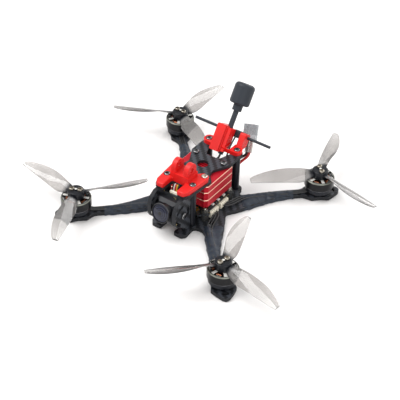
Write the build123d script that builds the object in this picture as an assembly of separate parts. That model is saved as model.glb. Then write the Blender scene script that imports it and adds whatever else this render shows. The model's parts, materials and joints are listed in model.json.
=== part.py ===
"""Small camera quadcopter on a carbon frame with a 150 mm diagonal, in millimetres, +Z up.

The origin is the middle of the frame on the underside of its base plate. The camera looks
along -Y, so the aircraft's own left side is +X. Each node is written to parts/NODE.step.
"""
import os
from math import atan, cos, pi, radians, sin, sqrt, tan

from build123d import *

# ------------------------------------------------------------------ driving dimensions
wheelbase = 150.0  # diagonal from motor axis to motor axis
propeller_diameter = 88.6  # 3.5 inch class, three blades
base_thickness = 2.5
top_thickness = 2.0
standoff_length = 25.0
standoff_radius = 2.4
seat_gap = 0.05  # clearance between parts that only lie against each other
running_gap = 0.05  # radial clearance of a shaft that turns in a hole
moving_gap = 0.3  # clearance beside parts that turn
metric_two = 1.0  # radius of an M2 thread
hole_gap = 0.05  # radial clearance of a screw in its hole

front_standoff = (9.2, -21.3)
rear_standoff = (10.3, 23.7)
stack_pitch = 25.5  # board screws, square pattern
transmitter_pitch = 20.0  # transmitter screws, square pattern
transmitter_offset = -0.5  # the pattern's middle lies this far along Y

motor_screw_circle = 4.5  # radius of the motor's screw circle
bell_radius = 9.2
bell_bottom = 8.2
bell_top = 14.4
bell_wall = 0.9
magnet_thickness = 1.1
air_gap = 0.2
stator_bottom = 8.8
stator_height = 4.0
tooth_count = 9
magnet_count = 12
motor_shaft_radius = 0.75
bearing_radius = 2.0
bearing_width = 1.6

hub_radius = 5.0
hub_height = 4.6
blade_count = 3
blade_pitch = 62.0  # travel in one turn
root_pitch_radius = 13.0  # the blades twist no further inside this radius
propeller_screw_offset = 2.5

board_size = (28.0, 36.2)
board_middle_y = 0.3
board_bottom = 6.9
board_thickness = 1.0
transmitter_size = (29.0, 28.8)
transmitter_bottom = 12.2

camera_pivot_y = -31.8
camera_pivot_z = 16.2
camera_tilt = 15.0  # degrees above level at rest
bracket_inner = 7.6  # distance of the bracket's inner face from the middle
bracket_thickness = 2.5
camera_half_width = 6.9

mount_plate = 2.7  # thickness of the printed front mount
rear_plate = 2.5  # thickness of the printed rear mount
finger_thickness = 3.0
finger_spacing = 8.9  # middle to middle
finger_radius = 4.3
finger_hole = 1.6
finger_axis_y = -17.6
finger_height = 6.4  # hole above the printed plate
finger_block = 3.2  # block under the fingers, above the printed plate

antenna_lean = 34.0  # degrees back from upright
antenna_stem_radius = 1.65
antenna_cap_radius = 6.35
antenna_cap_height = 13.4
receiver_rod_radius = 0.9
receiver_rod_length = 54.6

lead_radius = 0.5  # motor wires
tape_thickness = 0.4
tape_start = 31.0  # along the arm, from the middle of the frame
tape_end = 58.5

# ------------------------------------------------------------------ sizes that follow
motor_offset = wheelbase / 2 / sqrt(2)
base_top = base_thickness
top_bottom = base_top + standoff_length
top_top = top_bottom + top_thickness
board_top = board_bottom + board_thickness
screw_hole = metric_two + hole_gap
bell_inner = bell_radius - bell_wall
magnet_inner = bell_inner - magnet_thickness
stator_radius = magnet_inner - air_gap
stator_top = stator_bottom + stator_height
blade_plane = bell_top + 2.0
hub_top = bell_top + hub_height
bracket_outer = bracket_inner + bracket_thickness
transmitter_half_x = transmitter_size[0] / 2
transmitter_half_y = transmitter_size[1] / 2
finger_axis_z = top_top + mount_plate + finger_height

UPWARD = (Align.CENTER, Align.CENTER, Align.MIN)

# name, side in X, side in Y, turn seen from above (1 is counter-clockwise), first blade's angle
MOTORS = (
    ("front_right", -1, -1, -1, 294.0),
    ("rear_right", -1, 1, 1, 86.6),
    ("rear_left", 1, 1, -1, 227.1),
    ("front_left", 1, -1, 1, 345.4),
)


# ------------------------------------------------------------------ helpers
def rod(x, y, bottom, top, radius):
    """Upright cylinder between two heights."""
    return Pos(x, y, bottom) * Cylinder(radius, top - bottom, align=UPWARD)


def slab(low, high):
    """Box between two corners."""
    size = [b - a for a, b in zip(low, high)]
    return Pos(*low) * Box(*size, align=(Align.MIN, Align.MIN, Align.MIN))


def outline(corners):
    """Face inside a closed outline of (x, y, corner radius) points."""
    points = [(x, y) for x, y, _ in corners]
    radii = [radius for _, _, radius in corners]
    return make_face(FilletPolyline(*points, radius=radii, close=True))


def both_sides(corners):
    """Closed outline made of a right half, listed from front to rear, and its mirror image."""
    return corners + [(-x, y, radius) for x, y, radius in reversed(corners)]


def plate(face, bottom, top):
    """Flat plate of a face between two heights."""
    return Pos(0, 0, bottom) * extrude(face, top - bottom)


def corners_of(half_x, half_y, middle_y=0.0):
    """The four points of a rectangular pattern."""
    return [(sx * half_x, middle_y + sy * half_y) for sx in (-1, 1) for sy in (-1, 1)]


def button_screw(x, y, seat, tip, head_radius=1.9, head_height=1.3, shaft=metric_two):
    """Round-headed socket screw whose head rests on the seat height."""
    head = rod(0, 0, seat, seat + head_height, head_radius)
    head = fillet(head.edges().group_by(Axis.Z)[-1], 0.5 * head_height)
    socket = Pos(0, 0, seat + 0.35 * head_height) * extrude(RegularPolygon(0.62 * head_radius, 6), 2)
    return Pos(x, y, 0) * (head - socket + rod(0, 0, tip, seat, shaft))


def flush_screw(x, y, bottom, tip, head_radius=1.9, head_height=1.1, shaft=metric_two):
    """Countersunk screw driven upwards, its head level with the bottom height."""
    cone = Pos(0, 0, bottom) * Cone(head_radius, shaft, head_height, align=UPWARD)
    socket = Pos(0, 0, bottom - 1) * extrude(RegularPolygon(0.55 * head_radius, 6), 1.6)
    return Pos(x, y, 0) * (cone - socket + rod(0, 0, bottom + head_height, tip, shaft))


def countersink(x, y, bottom, top, head_radius=1.9, head_height=1.1, shaft=metric_two):
    """Cutter that lets a flush screw through a plate."""
    cone = Cone(head_radius + hole_gap, shaft + hole_gap, head_height, align=UPWARD)
    return Pos(x, y, bottom) * cone + rod(x, y, bottom, top, shaft + hole_gap)


def tube_along(points, radius, bends):
    """Round cord along straight runs joined by tangent arcs."""
    path = FilletPolyline(*points, radius=bends)
    start = Plane(origin=path @ 0, z_dir=path % 0)
    return sweep(start * Circle(radius), path=path)


def bends_for(points):
    """Arc radius at each inner point: 0.45 of the shorter run over the tangent of half the turn."""
    radii = []
    for before, here, after in zip(points, points[1:], points[2:]):
        run_in = Vector(*here) - Vector(*before)
        run_out = Vector(*after) - Vector(*here)
        half_turn = radians(run_in.get_angle(run_out)) / 2
        radii.append(0.45 * min(run_in.length, run_out.length) / tan(half_turn))
    return radii


def cord(points, radius, name):
    """Cord along hand-placed points; prints its length and tightest bend."""
    bends = bends_for(points)
    path = FilletPolyline(*points, radius=bends)
    print(f"cord {name}: length {path.length:.1f}, radii {[round(r, 1) for r in bends]}")
    return tube_along(points, radius, bends)


def arm_point(along, across, side_x, side_y):
    """Place on an arm: along it from the middle, and across it towards the frame's flank."""
    root = sqrt(0.5)
    return side_x * (along + across) * root, side_y * (along - across) * root


def edge_across(edge, along):
    """Linear reading of an arm's edge, a list of (along, across) points with rising along."""
    for (a0, c0), (a1, c1) in zip(edge, edge[1:]):
        if a0 <= along <= a1:
            return c0 + (c1 - c0) * (along - a0) / (a1 - a0)
    return edge[0][1] if along < edge[0][0] else edge[-1][1]


# ------------------------------------------------------------------ carbon plates
arm_end = wheelbase / 2
flank_edge = [(20.5, 12.3), (29.9, 9.3), (36.7, 6.9), (43.4, 4.9), (50.0, 3.5), (56.5, 2.7), (64.5, 2.8)]
outer_edge = [(31.0, -2.2), (40.0, -2.9), (50.0, -3.2), (64.5, -2.8)]
# motor pad, half of it, from the arm outwards: distance past the motor axis, half width, radius
pad_edge = [(-5.7, 6.6, 1.6), (0.0, 6.4, 6.0), (4.8, 7.5, 1.4), (8.2, 5.3, 2.0), (12.2, 2.2, 1.6)]
pad_slot = (9.2, 4.4, 2.2)  # distance past the motor axis, length across, width
window = ((18.4, 1.4, 0.6), (23.4, 5.4, 0.6), (26.4, 1.4, 0.6))


def base_outline():
    """Right half of the base plate, from the front notch round both arms to the rear notch."""
    half = [(4.8, -24.5, 2.4), (4.8, -33.7, 1.0), (10.6, -33.7, 1.4), (12.4, -31.2, 1.4)]
    half += [(11.8, -22.2, 2.6), (17.6, -21.6, 3.0)]
    for side_y in (-1, 1):
        arm = [(along, across, 6.0) for along, across in outer_edge]
        arm += [(arm_end + past, -width, radius) for past, width, radius in pad_edge]
        arm += [(arm_end + 13.6, 0.0, 2.4)]
        arm += [(arm_end + past, width, radius) for past, width, radius in reversed(pad_edge)]
        arm += [(along, across, 6.0) for along, across in reversed(flank_edge)]
        if side_y > 0:
            arm.reverse()
        else:
            arm.append((13.7, 13.7, 3.0))
        half += [(*arm_point(along, across, 1, side_y), radius) for along, across, radius in arm]
    half += [(17.4, 20.4, 2.4), (14.2, 20.6, 1.6), (14.2, 27.8, 3.2), (6.6, 27.8, 2.4), (5.2, 22.0, 2.4)]
    return both_sides(half)


def base_plate():
    """Carbon base with four arms, motor pads, front prongs and strap slots."""
    body = plate(outline(base_outline()), 0, base_top)
    cutters = [countersink(x, y, 0, base_top) for x, y in standoff_places()]
    cutters += [countersink(x, y, 0, base_top) for x, y in corners_of(stack_pitch / 2, stack_pitch / 2)]
    for x in (-9.0, 9.0):
        cutters.append(slot_cutter(x, 0, 14.0, 2.4, 90))
    for _, side_x, side_y, _, _ in MOTORS:
        x, y = side_x * motor_offset, side_y * motor_offset
        cutters.append(rod(x, y, 0, base_top, bearing_radius + 0.6))
        cutters += [countersink(x + dx, y + dy, 0, base_top, 1.7) for dx, dy in motor_screw_places()]
        slot_x, slot_y = arm_point(arm_end + pad_slot[0], 0, side_x, side_y)
        cutters.append(slot_cutter(slot_x, slot_y, pad_slot[1], pad_slot[2], -45 * side_x * side_y))
        corners = [(*arm_point(along, across, side_x, side_y), r) for along, across, r in window]
        cutters.append(plate(outline(corners), 0, base_top))
    for side in (-1, 1):
        cutters.append(tab_cutter(side, 0, base_top))
    return body - cutters


def slot_cutter(x, y, length, width, turn):
    """Round-ended slot through the base plate."""
    return plate(Pos(x, y) * Rot(0, 0, turn) * SlotOverall(length, width), 0, base_top)


def standoff_places():
    """The four standoffs' places."""
    fx, fy = front_standoff
    rx, ry = rear_standoff
    return [(-fx, fy), (fx, fy), (-rx, ry), (rx, ry)]


def motor_screw_places():
    """Screw places about a motor's axis, in line with the arm and across it."""
    return [(motor_screw_circle * cos(radians(a)), motor_screw_circle * sin(radians(a)))
            for a in (0, 90, 180, 270)]


def transmitter_screw_places():
    """The four screws between the top plate and the transmitter."""
    return corners_of(transmitter_pitch / 2, transmitter_pitch / 2, transmitter_offset)


tab_back, tab_front = -25.6, -28.6  # the bracket's tabs in both plates


def tab_cutter(side, bottom, top):
    """Slot that a camera bracket's tab stands in."""
    near = side * (bracket_inner - hole_gap)
    far = side * (bracket_outer + hole_gap)
    low = (min(near, far), tab_front - hole_gap, bottom)
    return slab(low, (max(near, far), tab_back + hole_gap, top))


def top_plate():
    """Carbon top plate with a front bar, side ears, a rear V notch and a round middle hole."""
    half = [(4.6, -23.0, 1.8), (4.6, -30.9, 0.8), (10.6, -30.9, 1.4), (12.0, -28.6, 1.4)]
    half += [(14.0, -8.8, 1.2), (9.6, -4.6, 2.0), (8.6, 0.4, 2.4), (13.9, 10.6, 1.6)]
    half += [(13.8, 26.8, 3.1), (7.9, 27.2, 2.2), (7.5, 19.6, 3.0), (4.9, 11.8, 2.2)]
    body = plate(outline(both_sides(half)), top_bottom, top_top)
    cutters = [rod(x, y, top_bottom, top_top, screw_hole) for x, y in standoff_places()]
    cutters += [rod(x, y, top_bottom, top_top, screw_hole) for x, y in transmitter_screw_places()]
    cutters.append(rod(0, 2.2, top_bottom, top_top, 3.5))
    cutters += [tab_cutter(side, top_bottom, top_top) for side in (-1, 1)]
    return body - cutters


def standoffs():
    """Four round posts with a threaded hole at each end."""
    posts = []
    for x, y in standoff_places():
        post = rod(x, y, base_top, top_bottom, standoff_radius)
        post = chamfer(post.edges().filter_by(GeomType.CIRCLE), 0.3)
        post -= rod(x, y, base_top, base_top + 8.0, screw_hole)
        post -= rod(x, y, top_bottom - 8.0, top_bottom, screw_hole)
        posts.append(post)
    return posts


def base_screws():
    """Flush screws from below into the standoffs."""
    return [flush_screw(x, y, 0.05, base_top + 6.0) for x, y in standoff_places()]


def top_screws():
    """Black screws: through the printed mounts into the standoffs, and through the top plate's ears."""
    front_seat = top_top + mount_plate - screw_sink
    rear_seat = top_top + rear_plate - screw_sink
    seats = {front_standoff[1]: front_seat, rear_standoff[1]: rear_seat}
    screws = [button_screw(x, y, seats[y] + seat_gap, top_bottom - 6.0) for x, y in standoff_places()]
    for x, y in transmitter_screw_places():
        if y > 0:
            screws.append(button_screw(x, y, top_top + seat_gap, top_bottom - 3.6))
    return screws


def wing_screws():
    """Bright screws through the front mount's rear wings into the transmitter."""
    seat = top_top + mount_plate - screw_sink + seat_gap
    return [button_screw(x, y, seat, top_bottom - 3.6) for x, y in transmitter_screw_places() if y < 0]


screw_sink = 0.9  # depth of the screw seats in the printed mounts


# ------------------------------------------------------------------ arm tape and motor wires
def arm_tapes():
    """Closed sleeve of tape round each arm and its three wires."""
    sleeves = []
    wire_top = base_top + seat_gap + 2 * lead_radius
    for _, side_x, side_y, _, _ in MOTORS:
        shells = []
        skin = seat_gap + tape_thickness
        for grow, reach, low, high in (
            (skin, 0.0, -skin, wire_top + skin),
            (seat_gap, 1.0, -seat_gap, wire_top + seat_gap),
        ):
            start, end = tape_start - reach, tape_end + reach
            inner_stops = {along for along, _ in flank_edge + outer_edge if start < along < end}
            stops = [start, *sorted(inner_stops), end]
            ring = [(a, edge_across(flank_edge, a) + grow, 0.0) for a in stops]
            ring += [(a, edge_across(outer_edge, a) - grow, 0.0) for a in reversed(stops)]
            corners = [(*arm_point(a, c, side_x, side_y), r) for a, c, r in ring]
            shells.append(plate(outline(corners), low, high))
        sleeves.append(shells[0] - shells[1])
    return sleeves


plug_middles = (-6.0, 4.6)  # where the wire plugs' middles lie along Y
plug_size = (5.6, 8.0, 4.0)
plug_outer = 15.6  # the plugs' outer face, from the middle


def motor_leads():
    """Three wires for each motor, from its base along the arm to its plug."""
    wires = []
    height = base_top + seat_gap + lead_radius
    for _, side_x, side_y, _, _ in MOTORS:
        middle = plug_middles[0] if side_y < 0 else plug_middles[1]
        for rank in (-1, 0, 1):
            gap = 2.4 * lead_radius
            across = 0.25 + gap * rank
            out_y = middle + side_y * (-rank) * 1.6
            start = (side_x * (plug_outer + seat_gap), out_y, board_bottom - 2.2)
            near = (side_x * (plug_outer + 2.2 + 1.3 * rank), out_y, board_bottom - 2.2)
            root = (*arm_point(26.5 + 1.2 * rank, across + 0.6, side_x, side_y), height)
            inner = (*arm_point(36.0, across, side_x, side_y), height)
            outer = (*arm_point(arm_end - 9.0, across, side_x, side_y), height)
            points = [start, near, root, inner, outer]
            bends = [min(bend, 8.0) for bend in bends_for(points)]
            wires.append(tube_along(points, lead_radius, bends))
    return wires


# ------------------------------------------------------------------ motors
def motor_bases():
    """Fixed foot of each motor with the tower that holds its bearings."""
    foot = rod(0, 0, base_top, 4.9, 6.6)
    for angle in (45, 135, 225, 315):
        foot -= Rot(0, 0, angle) * Pos(7.4, 0, base_top) * Cylinder(2.6, 2.4, align=UPWARD)
    disc = rod(0, 0, 4.9, bell_bottom - 0.5, 8.4)
    disc = chamfer(disc.edges().group_by(Axis.Z)[-1], 0.4)
    tower = rod(0, 0, base_top, stator_top + 0.3, bearing_radius + 0.55)
    body = foot + disc + tower
    body -= rod(0, 0, base_top + 0.5, stator_top + 0.3, bearing_radius)
    body -= rod(0, 0, base_top, base_top + 0.5, motor_shaft_radius + 0.4)
    for dx, dy in motor_screw_places():
        body -= rod(dx, dy, base_top, base_top + 3.0, screw_hole)
    return at_motors(body)


def at_motors(body):
    """Copies of a body at the four motor axes."""
    return [Pos(sx * motor_offset, sy * motor_offset, 0) * body for _, sx, sy, _, _ in MOTORS]


def motor_bearings():
    """Two small ball bearings in each motor's tower."""
    rings = []
    for bottom in (base_top + 0.5, stator_top + 0.3 - bearing_width):
        ring = rod(0, 0, bottom, bottom + bearing_width, bearing_radius)
        ring -= rod(0, 0, bottom, bottom + bearing_width, motor_shaft_radius + running_gap)
        rings += at_motors(ring)
    return rings


def motor_screws():
    """Four flush screws under each motor."""
    screws = []
    for _, side_x, side_y, _, _ in MOTORS:
        for dx, dy in motor_screw_places():
            place = (side_x * motor_offset + dx, side_y * motor_offset + dy)
            screws.append(flush_screw(*place, 0.05, base_top + 2.2, head_radius=1.7))
    return screws


tooth_width = 1.6


def motor_stators():
    """Iron stator with nine teeth, pressed on the bearing tower."""
    core = rod(0, 0, stator_bottom, stator_top, 3.7)
    crown = rod(0, 0, stator_bottom, stator_top, stator_radius)
    crown -= rod(0, 0, stator_bottom, stator_top, stator_radius - 0.7)
    teeth = core
    for index in range(tooth_count):
        turn = Rot(0, 0, index * 360 / tooth_count)
        half = tooth_width / 2
        web = slab((3.0, -half, stator_bottom), (stator_radius - 0.3, half, stator_top))
        teeth += turn * web
        gap = slab((stator_radius - 1.0, -0.45, stator_bottom), (stator_radius + 0.3, 0.45, stator_top))
        crown -= Rot(0, 0, (index + 0.5) * 360 / tooth_count) * gap
    body = teeth + crown
    body -= rod(0, 0, stator_bottom, stator_top, bearing_radius + 0.55)
    return at_motors(body)


def motor_windings():
    """One copper coil round each stator tooth."""
    wedge = Polyline((4.1, -1.25), (6.0, -1.65), (6.0, 1.65), (4.1, 1.25), close=True)
    coil = plate(make_face(wedge), stator_bottom - 0.6, stator_top + 0.5)
    coil = fillet(coil.edges().filter_by(GeomType.LINE).group_by(Axis.Z)[-1], 0.35)
    gap = 0.04
    half = tooth_width / 2 + gap
    coil -= slab((3.9, -half, stator_bottom - gap), (6.3, half, stator_top + gap))
    coils = []
    for index in range(tooth_count):
        coils += at_motors(Rot(0, 0, index * 360 / tooth_count) * coil)
    return coils


def bell():
    """Turning bell about the Z axis: ring, six-window web, propeller seat and shaft."""
    ring = rod(0, 0, bell_bottom, bell_top - 0.3, bell_radius)
    ring = chamfer(ring.edges().group_by(Axis.Z)[-1], 0.6)
    ring = chamfer(ring.edges().group_by(Axis.Z)[0], 0.25)
    ring -= rod(0, 0, bell_bottom, stator_top + 0.9, bell_inner)
    face = make_face(Polyline((4.6, -1.7), (7.9, -3.4), (7.9, 3.4), (4.6, 1.7), close=True))
    face = fillet(face.vertices(), 0.5)
    web_window = plate(face, stator_top + 0.5, bell_top + 1)
    for index in range(6):
        ring -= Rot(0, 0, 60 * index) * web_window
    seat = rod(0, 0, stator_top + 0.9, bell_top, 4.0)
    body = ring + seat + rod(0, 0, base_top + 0.3, hub_top + 0.6, motor_shaft_radius)
    for y in (-propeller_screw_offset, propeller_screw_offset):
        body -= rod(0, y, stator_top + 0.9, bell_top, screw_hole)
    return body


def magnets():
    """Twelve magnets glued inside the bell."""
    ring = rod(0, 0, bell_bottom + 0.3, stator_top + 0.3, bell_inner)
    ring -= rod(0, 0, bell_bottom + 0.3, stator_top + 0.3, magnet_inner)
    pieces = []
    for index in range(magnet_count):
        spread = 10 * tan(radians(13))
        wedge = make_face(Polyline((0, 0), (10, -spread), (10, spread), close=True))
        turn = Rot(0, 0, (index + 0.5) * 360 / magnet_count)
        pieces.append(ring & (turn * plate(wedge, bell_bottom, bell_top)))
    return pieces


# ------------------------------------------------------------------ propellers
# radius, reach ahead of the blade's own line, reach behind it, thickness
BLADE = (
    (3.6, 2.1, 2.0, 1.9),
    (8.0, 3.4, 3.7, 1.7),
    (13.0, 4.4, 4.8, 1.45),
    (20.0, 5.4, 4.4, 1.2),
    (27.0, 5.6, 3.8, 1.1),
    (34.0, 4.8, 3.2, 0.95),
    (39.5, 3.4, 2.7, 0.85),
    (42.8, 2.1, 2.4, 0.8),
    (44.2, 1.1, 2.2, 0.7),
)


def blade():
    """Blade along +X that moves towards +Y: its leading edge is curved and stands higher."""
    sections = []
    stretch = propeller_diameter / 2 / BLADE[-1][0]
    for radius, ahead, behind, thick in BLADE:
        reach = radius * stretch if radius > hub_radius else radius
        slope = atan(blade_pitch / (2 * pi * max(reach, root_pitch_radius)))
        edge = 0.16 * thick
        camber = 0.05 * (ahead + behind)
        lower = ThreePointArc((-behind, -edge), (0.4, camber - 0.5 * thick), (ahead, -edge))
        upper = ThreePointArc((ahead, edge), (0.4, camber + 0.5 * thick), (-behind, edge))
        front = Line((ahead, -edge), (ahead, edge))
        back = Line((-behind, edge), (-behind, -edge))
        face = make_face(Curve() + [lower, front, upper, back])
        chord = (0, cos(slope), sin(slope))
        place = Plane(origin=(reach, 0, blade_plane), x_dir=chord, z_dir=(1, 0, 0))
        sections.append(place * face)
    return loft(sections)


def propeller(turn):
    """Three-blade propeller about the Z axis with its first blade along +X."""
    hub = rod(0, 0, bell_top, hub_top, hub_radius)
    hub = fillet(hub.edges().group_by(Axis.Z)[-1], 0.8)
    one = blade()
    if turn < 0:
        one = mirror(one, about=Plane.XZ)
    body = hub
    for index in range(blade_count):
        body += Rot(0, 0, index * 360 / blade_count) * one
    body -= rod(0, 0, bell_top - 1, hub_top + 1, motor_shaft_radius + hole_gap)
    for y in (-propeller_screw_offset, propeller_screw_offset):
        body -= rod(0, y, bell_top - 1, hub_top + 1, screw_hole)
    return body


def propeller_screws():
    """The two screws that clamp a propeller on its bell."""
    tip = stator_top + 1.1
    places = (-propeller_screw_offset, propeller_screw_offset)
    return [button_screw(0, y, hub_top, tip, head_radius=1.7) for y in places]


# ------------------------------------------------------------------ board stack
def flight_board():
    """Control board with chamfered corners and four grommet holes."""
    hx, hy = board_size[0] / 2, board_size[1] / 2
    ring = [(hx - 3, board_middle_y - hy, 0.4), (hx, board_middle_y - hy + 3, 0.4)]
    ring += [(hx, board_middle_y + hy - 3, 0.4), (hx - 3, board_middle_y + hy, 0.4)]
    body = plate(outline(both_sides(ring)), board_bottom, board_top)
    for x, y in corners_of(stack_pitch / 2 - 1.2, stack_pitch / 2):
        lug = rod(x, y, board_bottom, board_top, 3.1)
        body += lug
    for x, y in corners_of(stack_pitch / 2, stack_pitch / 2):
        body += rod(x, y, board_bottom, board_top, 3.1)
    for x, y in corners_of(stack_pitch / 2, stack_pitch / 2):
        body -= rod(x, y, board_bottom, board_top, grommet_neck + seat_gap)
    return body


grommet_neck = 1.65


def board_parts():
    """Chips, transistors and sockets on both faces of the control board."""
    parts = [slab((-4.2, -4.6, board_top), (4.2, 3.8, board_top + 1.2))]
    parts.append(slab((-3.0, 7.2, board_top), (2.4, 11.6, board_top + 1.0)))
    parts.append(slab((-8.6, -9.4, board_top), (-5.0, -6.4, board_top + 0.9)))
    parts.append(slab((4.9, -16.6, board_top), (8.3, -13.0, board_top + 1.9)))
    parts.append(slab((-4.4, -18.0, board_top), (3.6, -12.6, board_top + 2.9)))
    for side in (-1, 1):
        for index in range(6):
            y = -7.6 + 2.9 * index
            near, far = side * 10.9, side * 13.1
            parts.append(slab((min(near, far), y, board_top), (max(near, far), y + 2.0, board_top + 0.9)))
    return parts


def lead_plugs():
    """Four wire plugs under the board's flanks, one for each motor."""
    plugs = []
    width, length, height = plug_size
    for side in (-1, 1):
        for middle in plug_middles:
            low_x = min(side * plug_outer, side * (plug_outer - width))
            low = (low_x, middle - length / 2, board_bottom - height)
            plug = slab(low, (low_x + width, middle + length / 2, board_bottom))
            outer = plug.edges().filter_by(Axis.Y).sort_by(Axis.X)
            plugs.append(chamfer(outer[-2:] if side > 0 else outer[:2], 0.5))
    return plugs


def stack_grommets():
    """Soft bushes that carry the board on its screws."""
    bushes = []
    for x, y in corners_of(stack_pitch / 2, stack_pitch / 2):
        bush = rod(x, y, base_top, board_bottom, 2.4)
        bush += rod(x, y, board_bottom, board_top, grommet_neck)
        bush += rod(x, y, board_top, board_top + 1.4, 2.3)
        bush -= rod(x, y, base_top, board_top + 1.4, screw_hole)
        bushes.append(bush)
    return bushes


def stack_screws():
    """Flush screws from below with their nuts on top."""
    pieces = []
    seat = board_top + 1.4
    for x, y in corners_of(stack_pitch / 2, stack_pitch / 2):
        pieces.append(flush_screw(x, y, 0.05, seat + 2.0))
        nut = Pos(x, y, seat) * extrude(RegularPolygon(2.0, 6), 1.5)
        pieces.append(nut - rod(x, y, seat, seat + 1.5, screw_hole))
    return pieces


# ------------------------------------------------------------------ video transmitter
band_gap = 0.2
lower_height = 5.2
middle_height = 5.4
cover_screw_x, cover_screw_y = 11.8, 11.7
shell_wall = 1.6


def shell_face(inset, cut):
    """Rectangle with cut corners, inset from the transmitter's outline."""
    hx, hy = transmitter_half_x - inset, transmitter_half_y - inset
    ring = [(hx - cut, -hy, 0.0), (hx, -hy + cut, 0.0), (hx, hy - cut, 0.0), (hx - cut, hy, 0.0)]
    return outline(both_sides(ring))


def band(bottom, top):
    """One band of the aluminium case with its edges broken."""
    body = plate(shell_face(0, 1.8), bottom, top)
    body = chamfer(body.edges().group_by(Axis.Z)[-1], 0.25)
    return chamfer(body.edges().group_by(Axis.Z)[0], 0.25)


def cover_screw_places():
    """Screws that hold the transmitter's bands together."""
    return corners_of(cover_screw_x, cover_screw_y)


def transmitter_lower():
    """Lower cup of the case, with a step that carries the circuit board."""
    top = transmitter_bottom + lower_height
    body = band(transmitter_bottom, top)
    body -= plate(shell_face(shell_wall + 1.0, 4.0), transmitter_bottom + 1.2, top)
    body -= plate(shell_face(shell_wall, 4.4), top - 2.0, top)
    for x, y in cover_screw_places():
        body -= rod(x, y, transmitter_bottom, top, 0.85)
        body -= rod(x, y, transmitter_bottom, transmitter_bottom + 1.0, 1.5)
    return body


def transmitter_board():
    """Circuit board inside the case."""
    bottom = transmitter_bottom + lower_height - 2.0
    body = plate(shell_face(shell_wall + 0.2, 4.6), bottom, bottom + 1.0)
    chip = slab((-6.5, -6.0, bottom + 1.0), (6.5, 6.5, bottom + 2.4))
    return body + chip


def transmitter_middle():
    """Middle ring of the case."""
    bottom = transmitter_bottom + lower_height + band_gap
    top = bottom + middle_height
    body = band(bottom, top)
    body -= plate(shell_face(shell_wall, 4.4), bottom, top)
    for x, y in cover_screw_places():
        body -= rod(x, y, bottom, top, 0.85)
    return body


def transmitter_upper():
    """Lid of the case with cooling grooves on top, held to the top plate."""
    bottom = transmitter_bottom + lower_height + middle_height + 2 * band_gap
    body = band(bottom, top_bottom)
    for index in range(-4, 5):
        y = 1.7 * index + transmitter_offset
        body -= slab((-7.6, y - 0.45, top_bottom - 1.3), (7.6, y + 0.45, top_bottom))
    for x, y in transmitter_screw_places():
        body -= rod(x, y, bottom, top_bottom, screw_hole)
    for x, y in cover_screw_places():
        body -= rod(x, y, bottom, bottom + 2.6, 0.85)
    return body


def transmitter_screws():
    """Four long screws through the case's bands from below."""
    seat = transmitter_bottom + 0.9
    tip = transmitter_bottom + lower_height + middle_height + 2 * band_gap + 2.2
    screws = []
    for x, y in cover_screw_places():
        head = rod(x, y, transmitter_bottom, seat, 1.4)
        screws.append(head + rod(x, y, seat, tip, 0.8))
    return screws


def receiver_board():
    """Small receiver board on the transmitter's rear face."""
    back = transmitter_half_y
    body = slab((-6.2, back + 0.8, 12.8), (6.2, back + 1.6, 23.4))
    pad = slab((-5.0, back, 13.4), (5.0, back + 0.8, 22.8))
    chip = slab((-3.0, back + 1.6, 14.4), (2.2, back + 2.5, 19.0))
    return body + pad + chip


# ------------------------------------------------------------------ camera
camera_place = Plane(
    origin=(0, camera_pivot_y, camera_pivot_z),
    x_dir=(1, 0, 0),
    z_dir=(0, sin(radians(camera_tilt)), cos(radians(camera_tilt))),
)
lens_radius = 6.25


def lens_rod(front, back, radius):
    """Cylinder about the lens axis, in the camera's own frame, where -Y is forwards."""
    return Pos(0, back, 0) * Rot(90, 0, 0) * Cylinder(radius, back - front, align=UPWARD)


def camera_case():
    """Square camera case whose front slopes down to the lens, with a boss on each side."""
    half = camera_half_width
    body = slab((-half, -4.6, -7.1), (half, 1.2, 7.1))
    front = body.faces().sort_by(Axis.Y)[0]
    body = chamfer(front.edges(), 2.0)
    body += Rot(0, 90, 0) * Cylinder(2.3, 2 * (bracket_inner - moving_gap))
    body -= slab((-8, 1.2, -3), (8, 3, 3))
    body -= lens_rod(-6.0, -1.6, 4.9)
    body -= Rot(0, 90, 0) * Cylinder(screw_hole, 20)
    body += slab((-half + 0.8, -1.6, -2.4), (half - 0.8, 1.2, 2.4))
    return camera_place * body


def camera_barrel():
    """Threaded lens barrel with its grip ring and bezel."""
    body = lens_rod(-6.2, -1.7, 4.8) + lens_rod(-7.0, -5.0, 5.6)
    bezel = lens_rod(-9.0, -6.9, lens_radius)
    bezel = fillet(bezel.edges().group_by(Axis.Y)[0], 0.5)
    body += bezel
    for index in range(20):
        groove = Rot(0, index * 18, 0) * Pos(5.7, -5.9, 0) * Box(0.5, 1.4, 0.5)
        body -= groove
    body -= lens_rod(-9.1, -8.0, lens_radius - 0.7)
    body -= lens_rod(-8.2, -6.4, 3.6)
    return camera_place * body


def camera_glass():
    """Domed front glass in the bezel."""
    radius = lens_radius - 0.7 - 0.03
    rise = 0.9
    sphere = (radius * radius + rise * rise) / (2 * rise)
    dome = Pos(0, -8.5 - rise + sphere, 0) * Sphere(sphere)
    disc = lens_rod(-10.0, -8.0, radius)
    return camera_place * (dome & disc)


def camera_board():
    """Camera circuit board behind the case."""
    return camera_place * slab((-6.5, 1.2, -8.9), (6.5, 2.2, 9.3))


def camera_plug():
    """Cable plug that stands up behind the camera board."""
    body = slab((-3.0, 2.2, 5.4), (3.0, 4.2, 11.0))
    body = chamfer(body.edges().group_by(Axis.Z)[-1], 0.5)
    return camera_place * body


def camera_screws():
    """Side screws that the camera tilts on, through both brackets."""
    screws = []
    for side in (-1, 1):
        screw = button_screw(0, 0, bracket_outer + moving_gap, 6.3, head_radius=2.0, head_height=1.2)
        screws.append(camera_place * (Rot(0, 90 * side, 0) * screw))
    return screws


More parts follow.
